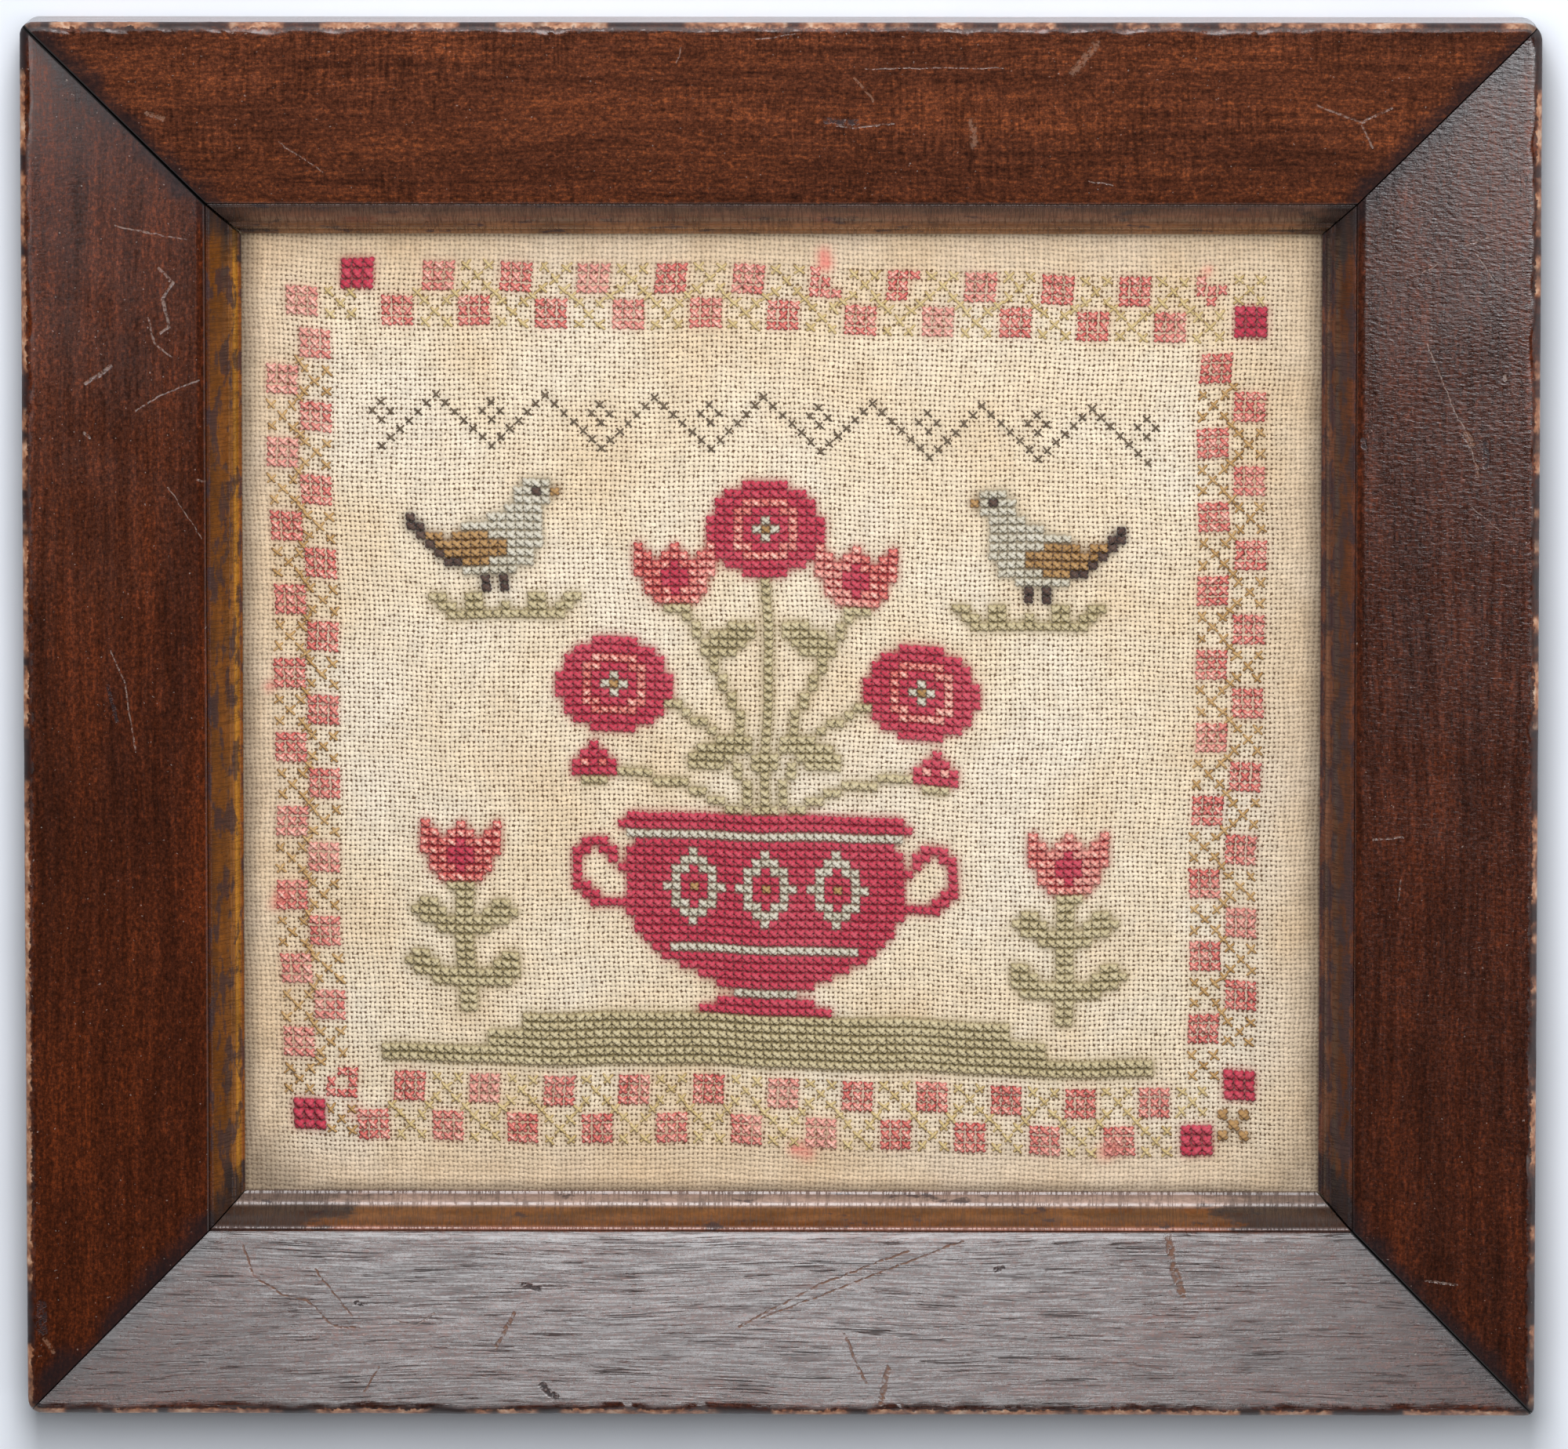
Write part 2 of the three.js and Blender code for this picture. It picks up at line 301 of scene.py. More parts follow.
# Marks on the rails: each is its width and then the x and y of its corners on the object. Pale ones
# are scratches in the shellac, bare ones go down to the wood and dark ones are dents full of dirt.
MARKS = {
    "top": {
        "pale": (
            (0.3, 12, 132, 17, 131.6, 25, 132.6), (0.22, 18.7, 144.7, 49, 144.9),
            (0.25, -5.6, 151, 4.6, 152.7), (0.4, 118, 136.6, 128, 132.8, 134.7, 136.1),
            (0.4, 128, 132.1, 130.3, 127.2), (0.25, -110.8, 128.3, -100.9, 121.6),
            (0.25, -22.8, 146.1, -21.8, 149.4), (0.25, 68, 119.7, 73.2, 118.6),
        ),
        "bare": (
            (1.6, 42.3, 132.8, 42.6, 127.6), (1.7, 64.5, 144, 69.5, 150.4), (0.5, 16.4, 142.6, 20.4, 137.5),
            (1.0, -139.6, 134.4, -136, 133.4),
        ),
        "dark": ((1.3, 10, 133.2, 17, 132.8),),
    },
    "left": {
        "pale": (
            (0.3, -146.8, 109.9, -139, 108, -131.3, 106.6),
            (0.6, -137.4, 100.5, -134.1, 97, -136.4, 93.7, -135.1, 87.1, -136.9, 86),
            (0.4, -139.7, 89.4, -138.4, 83.8, -134.6, 80.6), (0.8, -153.4, 74.9, -148, 78.7),
            (0.3, -142.4, 68.8, -137.4, 72.1, -128.5, 75.4), (0.6, -153.7, 64, -152.7, 63),
            (0.3, -148.2, 15.5, -145.1, 7.9, -142.8, -7), (0.22, -135.5, 51.8, -128.2, 40.3),
            (0.4, -129.2, 53.4, -126.6, 52.7),
        ),
        "bare": ((0.9, -163.6, -138, -161.8, -141),),
        "dark": ((2.1, -164.3, -130.4, -164.2, -136), (0.8, -149, 8, -147, 0)),
    },
    "bottom": {
        "pale": ((0.3, -85.8, -134.2, -81, -135.1, -77, -132.6),),
        "bare": (
            (0.4, -119.7, -117.6, -117.4, -124.3, -110.8, -128.6, -105.3, -129.8, -99.7, -135.4, -93.6, -136),
            (0.3, -103.5, -123, -95.4, -133.2), (0.7, -59.3, -132.6, -63.3, -140.3),
            (0.3, -89.3, -144.3, -92.6, -149.9), (0.4, -9.4, -135.4, 9, -126, 28.4, -118.7),
            (0.35, -4, -133.4, 40.7, -116.4), (0.5, 14.2, -137, 17.5, -144.3, 19, -147.6),
            (1.1, 24.1, -144.3, 22.3, -152), (1.6, 86, -114.1, 87.1, -120.9, 89.3, -128.1),
        ),
        "dark": (
            (1.1, -57.2, -126.5, -53.8, -127), (0.8, -94.6, -130.4, -92.4, -130.8),
            (0.9, 48, -122.6, 49.4, -122.4), (1.4, -53, -148.5, -50, -151),
        ),
    },
    "right": {
        "pale": (
            (0.3, 142.6, 84.1, 148, 70.7, 151.7, 63.9, 153.6, 56.5), (0.25, 140.9, 99.1, 144.9, 101.8),
            (0.35, 151, 105.9, 159.7, 108.9), (0.25, 153.2, 104.2, 158.3, 96.2),
            (0.8, 159.6, 76.9, 159.8, 76.2), (0.35, 131.4, -26.4, 138.1, -25.7),
            (0.3, 137.4, -35.3, 136.9, -39.6), (0.4, 143.5, -124.8, 150.3, -125.8),
            (0.25, 152.4, 48.2, 159.1, 42.6),
        ),
        "bare": ((1.5, 151.4, 64, 152.4, 62), (0.8, 153.6, 57, 153.9, 54.6)),
        "dark": ((1.4, 155.6, 62, 155.8, 57.4), (1.2, 128.8, 62.4, 129, 61)),
    },
}
MARK_WAVER = 1.0  # how far a mark's edges wander
FAR_OFF = 9.0  # farther off than any mark reaches


def marks_at(point, lines):
    """1 on the marks, 0 off them."""
    nearest = FAR_OFF
    for width, *places in lines:
        corners = list(zip(places[::2], places[1::2]))
        for start, end in zip(corners, corners[1:]):
            run = Vector((end[0] - start[0], end[1] - start[1], 0))
            offset = point.vector("SUBTRACT", (*start, 0))
            share = offset.vector("DOT_PRODUCT", tuple(run / run.length_squared), output="Value")
            share = share.math("MULTIPLY", 1.0, clamp=True)
            foot = share.node("ShaderNodeVectorMath", {0: tuple(run), "Scale": share}, operation="SCALE")
            away = offset.vector("DISTANCE", foot, output="Value")
            nearest = (away * (2 / width)).least(nearest)
    return nearest.step(1.5, 0.6)


def off_mitre(side_name, along, inset):
    """How far along its side a point is from the nearer mitre."""
    return along.math("ABSOLUTE").scaled(-1.0, SIDES[side_name]["reach"]) - inset


GRAIN_BEND = 9.0  # how far the grain wanders across a rail
RIDGE_PAINTED_SHADE = (20, 36)  # insets where the shade painted on a rail towards its ridge begins and ends
OPEN_MITRES = (180, 215)  # at |x - y| beyond these: top left and bottom right, whose open gaps are painted in shadow


def veneer_wood(grained, inset, streak, mottle, shade, ridge, figure, comb):
    """The veneer's colour, with markings across its grain, and painted shade towards its ridge."""
    cloud = grained(0.016, 0.09)
    fleck = grained(0.42, 1.3, 3, 4)
    tone = summed((cloud, 0.17), (streak, 0.17), (fleck, 0.26), (mottle, 0.4))
    stops = ((0.38, (44, 22, 14)), (0.47, (74, 38, 23)), (0.53, (98, 51, 30)), (0.62, (150, 78, 40)))
    wood = tone.ramp(*((at, np.multiply(shade, color)) for at, color in stops))
    # the wood's figure across the grain: partly real markings, partly a painted chatoyant sheen
    bands = grained(0.11, 0.03, 2, 6).step(0.35, 0.65, -1, 1)
    teeth = grained(1.2, 0.1, 2, 8).step(0.3, 0.7, -1, 1)
    patch = grained(0.014, 0.05, 2, 10).step(0.38, 0.6)
    glow = summed((bands, figure), (teeth, comb)).scaled(patch, 1.0)
    # painted shade: the top rail darkens towards its ridge, beside the moulding
    return wood.shaded(glow * inset.step(*RIDGE_PAINTED_SHADE, 1.0, ridge))


def worn_arris(wood, grain, seed, wear):
    """The outer arris, grubby or rubbed bare. Gives the colour, how far off the arris is and the
    bare share."""
    along, inset, height = grain.split()
    off_face = height.step(ARRIS_FOOT, ARRIS_FOOT - 1.5, 0, 8)
    ragged = grain.noise(1.4, detail=2, roughness=0.65)
    edge = summed((inset, 1.0), (off_face, 1.0), (ragged - 0.5, 2.4))
    lengths = (along * 0.05).beside(0.0, seed).noise(detail=3, roughness=0.6)
    bare = edge.step(1.35, 0.95) * lengths.step(0.56 - wear, 0.62 - wear)
    bare_wood = grain.noise(2.6, detail=2, roughness=0.65).ramp(
        (0.34, (96, 60, 44)), (0.5, (162, 108, 76)), (0.6, (190, 142, 110)), (0.72, (206, 176, 152)))
    wood = wood.painted((30, 22, 24), edge.step(2.6, 0.9) * lengths.step(0.53, 0.43, 0, 0.7))
    return wood.mixed(bare_wood, bare * 0.9), edge, bare


def grimy_mitres(wood, grain, point, side_name):
    """Grime along the mitres, and painted shadow in the gaps of two of them. Gives the colour
    and where that shadow is.
    """
    along, inset, _ = grain.split()
    x, y, _ = point.split()
    mitre = off_mitre(side_name, along, inset)
    grime = grain.noise(9.0).scaled(-14, mitre).step(1.0, -6.0, 0, 0.75)
    gap_shadow = mitre.step(0.8, 0.5) * (x - y).math("ABSOLUTE").step(*OPEN_MITRES)
    wood = wood.painted((32, 27, 29), grime.most(mitre.step(0.7, 0.3, 0, 0.8)))
    # painted shadow: near black in the two open mitre gaps
    return wood.painted((8, 6, 6), gap_shadow), gap_shadow


def scratched(wood, point, side_name):
    """Scratches, dents and specks. Gives the colour and where each kind of mark is."""
    waver = point.noise(2.6, output="Color").vector("SUBTRACT", (0.5, 0.5, 0.5))
    flat = waver.vector("MULTIPLY_ADD", (MARK_WAVER,) * 3, point).vector("MULTIPLY", (1, 1, 0))
    broken = point.noise(0.9, roughness=0.7).step(0.38, 0.6, 0.1, 1.0)
    marks = {kind: marks_at(flat, lines) * broken for kind, lines in MARKS[side_name].items()}
    wood = wood.painted((160, 138, 126), marks["pale"] * 0.5)
    wood = wood.painted((140, 98, 72), marks["bare"] * 0.55)
    wood = wood.painted((22, 20, 26), marks["dark"] * 0.7)
    return wood.painted((178, 160, 150), point.noise(0.8, detail=1).step(0.75, 0.80, 0, 0.4)), marks


def rail_material(side_name, seed, shade, ridge, figure, comb, wrinkle, fissure, wear, polish):
    """Dark red-brown veneer under worn shellac. shade scales its red, green and blue, and ridge its
    brightness under the shade painted beside the moulding. figure and comb are the strengths of its
    broad and fine cross markings, partly a painted chatoyant sheen, wrinkle and fissure of the shellac's
    creases across and along the grain, wear the share of the outer arris that is rubbed bare, and polish
    the shellac's index of refraction."""
    look = Look(f"veneer_{side_name}")
    grain = look.attribute("grain")
    along, inset, height = grain.split()
    bend = stretched(along, inset, 0.009, 0.03, seed, detail=1)
    line = bend.scaled(GRAIN_BEND, inset - height)

    def grained(lengthways, across, detail=2, shift=0):
        """Noise that runs with the grain."""
        return stretched(along, line, lengthways, across, seed + shift, detail=detail, roughness=0.6)

    streak = grained(0.03, 0.45, 3, 2)
    mottle = grain.noise(0.75, detail=3, roughness=0.8)
    wood = veneer_wood(grained, inset, streak, mottle, shade, ridge, figure, comb)
    # open pores and the fine dark lines of the grain
    pore = grained(0.2, 1.9, 2, 12).step(0.60, 0.72, 0, 0.35)
    hair = grained(0.07, 2.4, 2, 14).step(0.575, 0.635) * grained(0.04, 0.25, 2, 16).step(0.42, 0.6)
    open_grain = pore.most(hair * math.sqrt(fissure))
    wood = wood.painted((26, 15, 13), open_grain * 0.8)
    point = look.place()
    wood, edge, bare = worn_arris(wood, grain, seed, wear)
    wood, gap_shadow = grimy_mitres(wood, grain, point, side_name)
    wood, marks = scratched(wood, point, side_name)
    # how the shellac shines
    dulled = edge.step(2.4, 1.4, 0, 0.65).most(bare * 0.6, marks["bare"], marks["dark"], gap_shadow,
                                               hair * (0.8 * fissure))
    fine = grained(0.09, 1.9, 2, 20)
    roughness = summed((streak.step(0.3, 0.7), 0.05), (mottle.step(0.35, 0.65), 0.07),
                       (fine.step(0.35, 0.65), 0.16 * fissure))
    roughness = (roughness + 0.11).most(dulled * 0.75)
    relief = summed((fine, 0.25 * fissure), (open_grain, -0.9 * fissure),
                    (grained(1.3, 0.4, 2, 18), 0.6 * wrinkle), (mottle, 0.1), (marks["dark"], -1.2),
                    (marks["bare"], -0.8), (marks["pale"], -0.8))
    return look.finish(wood, roughness, relief, 0.05, polish=polish)


def moulding_material(side_name, seed, polish, patches, tarnish, colors):
    """The sight moulding: a thin gilt-brown finish, worn and blackened in patches and for about half
    of tarnish, in mm, at its ends. polish is its index of refraction. colors run from the rail inward.
    The glint band is a painted highlight (on the left partly bright worn gilt), and the bottom's pale
    rim and bead are painted highlights too."""
    look = Look(f"gilt_{side_name}")
    along, inset, _ = look.attribute("grain").split()
    inward = inset - MOULDING_INSET
    rim, step, body, bead, glint_highlight, lip = colors
    # painted highlight: the glint band, and on the bottom the pale rim and bead
    band = (inward * (1 / MOULDING_WIDTH)).ramp(
        (0.04, rim), (0.12, step), (0.2, step), (0.3, body), (0.56, body), (0.64, bead), (0.74, bead),
        (0.8, glint_highlight), (0.86, glint_highlight), (0.93, lip))
    cloudy = stretched(along, inset, 0.07, 0.4, seed, detail=3)
    fine = stretched(along, inset, 0.7, 2.0, seed, detail=3, roughness=0.7)
    color = band.shaded(cloudy.step(0.3, 0.7, 0.75, 1.25) * fine.step(0.25, 0.75, 0.75, 1.25))
    worn = stretched(along, inset, 0.11, 0.42, seed + 3, detail=4, roughness=0.65)
    color = color.painted((52, 40, 44), worn.step(0.60 - patches, 0.66 - patches, 0, 0.75))
    corner = worn.scaled(-tarnish, off_mitre(side_name, along, inset)).step(-1.0, -9.0)
    color = color.painted((40, 34, 34), corner * inward.step(4.0, 5.2, 0.8, 0.8 - 0.006 * tarnish))
    cracks = stretched(along, inset, 1.1, 0.12, seed, detail=3)
    crack = (cracks - 0.5).math("ABSOLUTE").step(0.04, 0.01)
    color = color.painted((30, 20, 16), crack * 0.3)
    roughness = cloudy.step(0.3, 0.7, 0.18, 0.28) + crack * 0.35
    return look.finish(color, roughness, summed((crack, -0.7), (fine, 0.4)), 0.05, polish=polish)


def board_material():
    """Old bare softwood."""
    look = Look("old_board")
    x, y, z = look.place().split()
    rings = stretched(x, y, 0.01, 0.35, z, detail=4)
    fibre = stretched(x, y, 0.08, 3.0, z, detail=2)
    tone = summed((rings, 0.7), (fibre, 0.3))
    wood = tone.ramp((0.35, (104, 76, 50)), (0.5, (138, 106, 72)), (0.65, (160, 128, 92)))
    return look.finish(wood, fibre.step(0.3, 0.7, 0.75, 0.9), fibre, 0.1)


THREAD_HALF = 0.37  # half a thread's width, as a share of the pitch
THREAD_WAVER = 0.9  # in threads
DENSE_MARGIN = (12, 4)  # how far in from the edges the weave begins and ends to close up
SOILED_AND_SHADED_EDGES = (  # side, how far in the soil and painted shade reach in mm, and how dark they are at the edge
    ("left", 5.6, 0.8), ("right", 5.4, 0.75), ("right", 1.6, 0.95), ("top", 3.0, 0.2), ("bottom", 3.2, 0.65),
)
SOILED_CORNERS = (  # sides that meet there, how far in, how yellow and how dark
    ("left", "top", 44, 0.75, 0.0), ("right", "top", 44, 0.6, 0.0),
    ("left", "bottom", 26, 0.0, 0.7), ("right", "bottom", 26, 0.0, 0.4),
)


def thread_height(across, length, sign):
    """The threads that run one way: a round top that dips under each second crossing."""
    offset = across.math("FRACT") - 0.5
    top = (offset * offset).scaled(-1 / THREAD_HALF**2, 1.0).most(0.0).math("SQRT")
    turn = ((length - 0.5) * math.pi).math("COSINE")
    parity = (across.math("FLOOR") * math.pi).math("COSINE")
    return top * (turn * parity).scaled(0.35 * sign, 0.65)


def soiled_and_shaded_linen(point, margins, margin):
    """The cloth's colour, with its clouds and stains, its edges soiled and darkened by shade painted
    beside the moulding, its top corners yellowed and its bottom ones darker.
    """
    clean = point.noise(38.0, detail=4, roughness=0.6).ramp(
        (0.36, (242, 219, 184)), (0.5, (247, 229, 199)), (0.64, (248, 234, 210)))
    blotch = point.noise(13.0, detail=3, roughness=0.65)
    soil = margin.step(22, 2, 0, 0.5) + blotch.step(0.4, 0.7, 0, 0.12)
    dirt_and_shade = 0.0
    for across_side, up_side, reach, yellow, dark in SOILED_CORNERS:
        corner = margins[across_side] + margins[up_side]
        soil = corner.step(reach, 6, 0, yellow).most(soil)
        dirt_and_shade = corner.step(reach, 6, 0, dark).most(dirt_and_shade)
    # the cloth darkens next to the moulding: partly soil, partly the moulding's shade painted on
    for side_name, reach, strength in SOILED_AND_SHADED_EDGES:
        uneven_margin = blotch.scaled(-0.5 * reach, margins[side_name])
        dirt_and_shade = uneven_margin.step(0.75 * reach, -0.3 * reach, 0, strength).most(dirt_and_shade)
    return clean.painted((212, 172, 128), soil * 0.75).painted((112, 96, 80), dirt_and_shade)


def cloth_material():
    """Loose even weave: each thread goes over and under, with holes between them. The holes are
    painted dark as shade, and the threads painted lighter on their tops and darker where they dip.
    """
    look = Look("even_weave")
    threads = look.attribute("threads")
    waver = threads.noise(1.3, detail=3, output="Color")
    shifted = waver.vector("MULTIPLY_ADD", (THREAD_WAVER, THREAD_WAVER, 0), threads)
    u, v, _ = shifted.split()
    height = thread_height(u, v, 1).most(thread_height(v, u, -1))
    point = look.place()
    x, y, _ = point.split()
    margins = {
        "left": x + SIGHT_HALF_WIDTH, "right": x.scaled(-1.0, SIGHT_HALF_WIDTH),
        "top": y.scaled(-1.0, SIGHT_HALF_HEIGHT), "bottom": y + SIGHT_HALF_HEIGHT,
    }
    margin = margins["left"].least(margins["right"], margins["top"], margins["bottom"])
    # the holes, painted dark as the shaded board seen through them: open in the middle,
    #     # closer in the margins, and pulled wide by the needle
    crossing = shifted.vector("ADD", (0.5, 0.5, 0)).vector("FLOOR")
    chance = crossing.node("ShaderNodeTexWhiteNoise", {"Vector": crossing}, noise_dimensions="2D")
    hole_shade = chance.scaled(-0.26, height).step(0.36, 0.06) * margin.step(*DENSE_MARGIN, 1.0, 0.4)
    cover, pulled, _ = look.attribute("cover").split()
    away = shifted.vector("MULTIPLY", (1, 1, 0)).vector("DISTANCE", crossing, output="Value")
    hole_shade = hole_shade.most(away.step(0.42, 0.2) * chance.step(0.55, 0.8) * pulled)
    # threads of uneven tone, with painted shade where they dip and a painted highlight on their tops
    warp = threads.vector("MULTIPLY", (0.9, 0.16, 0)).noise(detail=1)
    weft = threads.vector("MULTIPLY", (0.16, 0.9, 0)).noise(detail=1)
    shade = warp.step(0.3, 0.7, -0.06, 0.06) + weft.step(0.3, 0.7, 0.94, 1.06)
    # painted shade and highlight: the colour is scaled by the threads' height
    linen = soiled_and_shaded_linen(point, margins, margin).shaded(shade * height.scaled(0.28, 0.72))
    # and the stitches' tint, partly painted shade in the gaps between strands
    # painted shade: the holes darken to the shaded board below
    linen = linen.painted((98, 68, 40), hole_shade * 0.92).mixed(look.attribute("tint_and_gap_shade"), cover)
    return look.finish(linen, 0.92, height, 0.2, sheen=0.15, specular=0.2)


PLY_TURNS = 4.0  # of the wool's twist, from one end of a strand to the other


def wool_material(name, color, deep, pale):
    """Twisted thread, with painted light: a painted highlight where it faces up and along the middle of
    each strand, painted shade at its sides and ends.
    """
    look = Look(f"wool_{name}")
    share, around, chance = look.attribute("ply").split()
    twist = (share.scaled(PLY_TURNS, around) * (2 * math.pi)).math("SINE")
    middle_highlight = share * share.scaled(-1.0, 1.0) * 4.0
    fuzz = look.place().noise(0.35, detail=3, roughness=0.6)
    # painted highlight where the strand faces up and along its middle; painted shade at its ends
    lift = add_node(look.tree, "ShaderNodeNewGeometry", {}, "Normal").split()[2].step(0.3, 1.0)
    tone = summed((lift, 0.3), (twist, 0.08), (fuzz, 0.4), (chance, 0.3), (middle_highlight, 0.45)) - 0.35
    wool = tone.ramp((0.22, deep), (0.54, color), (0.62, color), (0.95, pale))
    wool = wool.painted(pale, look.place().noise(26.0, detail=3).step(0.45, 0.7, 0, 0.4))
    return look.finish(wool, 0.9, summed((twist, 0.5), (fuzz, 0.8)), 0.12, sheen=0.25, specular=0.2)


# ---- Rails and mouldings ----

STATION_LENGTH = 1.1  # between the rings of a rail
NICKS = 26  # along a rail's arris
SLOPE = math.atan2(RIDGE_DROP, RAIL_WIDTH)
RIDGE_ROUNDING = 0.5


def draw_back(sight_gap, inset):
    """How far a strip's end stays off the corner's diagonal, which leaves the mitre's gap."""
    gap = OUTER_GAP + (sight_gap - OUTER_GAP) * inset / SIGHT_INSET
    return gap / math.sqrt(2)


def swept_strip(side, section_at, stations):
    """Rings of a section along one side, from its left mitre to its right one. section_at gives a
    ring's insets and heights by how far along it is."""
    (left_radius, left_gap), (right_radius, right_gap) = (CORNERS[end] for end in side["ends"])
    rings, grain = [], []
    for share in stations:
        inset, height = section_at(share * 2 * side["reach"])
        low = -side["reach"] + inset + draw_back(left_gap, inset)
        high = side["reach"] - inset - draw_back(right_gap, inset)
        along = low + (high - low) * share
        grain.append(np.stack([along, inset, height], -1))
        plan = np.stack([along, side["out"] - inset, height], -1)
        for radius, end in ((left_radius, -1), (right_radius, 1)):
            across = radius - inset
            lengthways = radius - (side["reach"] - end * along)
            inside = (across > 0) & (lengthways > 0)
            pull = np.maximum(across, lengthways) / np.maximum(np.hypot(across, lengthways), 1e-6)
            pulled_along = end * (side["reach"] - radius + lengthways * pull)
            plan[:, 0] = np.where(inside, pulled_along, plan[:, 0])
            plan[:, 1] = np.where(inside, side["out"] - radius + across * pull, plan[:, 1])
        rings.append(plan)
    turn = math.radians(side["turn"])
    turned = np.array([[math.cos(turn), math.sin(turn), 0], [-math.sin(turn), math.cos(turn), 0], [0, 0, 1]])
    return np.concatenate(rings) @ turned, np.concatenate(grain)


def strip_faces(ring_count, ring_size):
    faces = grid_faces(ring_count, ring_size, closed=True)
    first = list(range(ring_size))
    last = [(ring_count - 1) * ring_size + k for k in reversed(first)]
    return faces + [first, last]


def rail_section(seed):
    """A rail's closed section at a distance along it: wall, worn arris, bevel, ridge and back."""
    local = np.random.default_rng(seed)
    nicks = []
    for _ in range(NICKS):
        nicks.append((local.uniform(0, 2 * HALF_WIDTH), local.uniform(0.8, 3.2), local.uniform(0.1, 0.45)))

    def section(along):
        radius = ARRIS_RADIUS * (1 + 0.22 * wander(along, 60, seed) + 0.12 * wander(along, 13, seed + 1))
        nick = sum(depth * math.exp(-(((along - at) / width) ** 2)) for at, width, depth in nicks)
        centre_height = FRAME_DEPTH - math.tan(SLOPE) * radius - radius / math.cos(SLOPE)
        wall = np.linspace(0, 1, 7)
        wall_inset = 0.12 * wander(along, 90, seed + 2) * np.sin(wall * math.pi)
        turns = np.linspace(math.pi, math.pi / 2 - SLOPE, 9)
        cut = radius - nick * np.sin((turns - turns[-1]) / (turns[0] - turns[-1]) * math.pi) ** 0.7
        arris_inset = radius + cut * np.cos(turns)
        arris_height = centre_height + cut * np.sin(turns)
        bevel = np.linspace(arris_inset[-1] + 0.9, RAIL_WIDTH - RIDGE_ROUNDING, 26)
        sag = 0.05 * wander(along, 70, seed + 3) * np.sin((bevel / RAIL_WIDTH) * math.pi)
        bevel_height = FRAME_DEPTH - math.tan(SLOPE) * bevel + sag
        ridge_height = FRAME_DEPTH - RIDGE_DROP
        ridge = RIDGE_ROUNDING * np.array([0.3, 0.75, 1.0])
        inset = np.concatenate([
            np.maximum(wall_inset[:-1], 0), arris_inset, bevel,
            RAIL_WIDTH - RIDGE_ROUNDING + ridge[:2], [RAIL_WIDTH] * 4, [RAIL_WIDTH * 0.66, RAIL_WIDTH * 0.33],
        ])
        height = np.concatenate([
            wall[:-1] * centre_height, arris_height, bevel_height,
            ridge_height - RIDGE_ROUNDING * np.array([0.02, 0.3]),
            [ridge_height - RIDGE_ROUNDING * 0.9, 12, 6, 0], [0, 0],
        ])
        return inset, height

    return section


def make_rail(side_name, seed, **looks):
    side = SIDES[side_name]
    count = int(2 * side["reach"] / STATION_LENGTH)
    stations = np.linspace(0, 1, count)
    points, grain = swept_strip(side, rail_section(seed), stations)
    faces = strip_faces(count, len(points) // count)
    material = rail_material(side_name, seed, **looks)
    rail = make_piece(f"veneer_{side_name}", points, faces, material, [("grain", grain)], 35)
    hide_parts(f"rail_{side_name}")


def rounded(points, rounds):
    """An open line with its corners cut back, again and again."""
    line = np.array(points, float)
    for _ in range(rounds):
        inner = np.empty((2 * len(line) - 2, 2))
        inner[0::2] = line[:-1] * 0.75 + line[1:] * 0.25
        inner[1::2] = line[:-1] * 0.25 + line[1:] * 0.75
        line = np.concatenate([line[:1], inner, line[-1:]])
    return line


def make_moulding(side_name, seed, **looks):
    side = SIDES[side_name]
    top = rounded(MOULDING_SECTION, 2)
    foot = np.array([[MOULDING_WIDTH, MOULDING_BOTTOM], [0, MOULDING_BOTTOM]])
    outline = np.concatenate([top, foot])

    def section(along):
        share = np.clip(outline[:, 0] / MOULDING_WIDTH, 0, 1)
        swell = 0.06 * wander(along, 40, seed) * np.sin(share * math.pi)
        return MOULDING_INSET + outline[:, 0], outline[:, 1] + swell

    count = int(2 * side["reach"] / STATION_LENGTH / 1.5)  # a moulding has fewer rings
    points, grain = swept_strip(side, section, np.linspace(0, 1, count))
    faces = strip_faces(count, len(outline))
    material = moulding_material(side_name, seed, **looks)
    moulding = make_piece(f"gilt_{side_name}", points, faces, material, [("grain", grain)], 50)
    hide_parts(f"sight_{side_name}")


# ---- Cloth ----

COUNT_U = 0.8147  # a count is a third of a border cross
COUNT_V = 0.7829
WEAVE = (0.75, 0.71, 0)  # threads of the cloth to a count
SAMPLER_MIDDLE = (0.56, -2.45)
ROW_FALL = 0.022  # the rows run down to the right
NARROWING = 0.03  # of the stitched width, from its top to its bottom
NARROWED_FROM = 120  # in counts above the middle
NARROWED_OVER = 235
CLOTH_CELL = 1.2  # between the points of its mesh
PULL_REACH = 1.4  # of an open stitch's needle holes from its middle


def on_cloth(u, v):
    """Where the count u across and v up from the sampler's middle lies."""
    spread = 1 - NARROWING * (NARROWED_FROM - v) / NARROWED_OVER
    x = SAMPLER_MIDDLE[0] + u * COUNT_U * spread
    y = SAMPLER_MIDDLE[1] + v * COUNT_V - ROW_FALL * (x - SAMPLER_MIDDLE[0])
    # the threads wander by a fraction of a millimetre
    x = x + 0.35 * np.sin(v / 21 + 0.6) + 0.25 * np.sin(v / 9.5 + u / 60) + 0.12 * np.sin(v / 4.1 + 1)
    y = y + 0.40 * np.sin(u / 26 + 2.1) + 0.28 * np.sin(u / 11.5 + v / 45) + 0.12 * np.sin(u / 4.6)
    return x, y


def counts_at(x, y):
    """The counts across and up of points on the cloth: on_cloth turned round, step by step."""
    u = (x - SAMPLER_MIDDLE[0]) / COUNT_U
    v = (y - SAMPLER_MIDDLE[1]) / COUNT_V
    for _ in range(8):
        made_x, made_y = on_cloth(u, v)
        u = u + (x - made_x) / COUNT_U
        v = v + (y - made_y) / COUNT_V
    return u, v


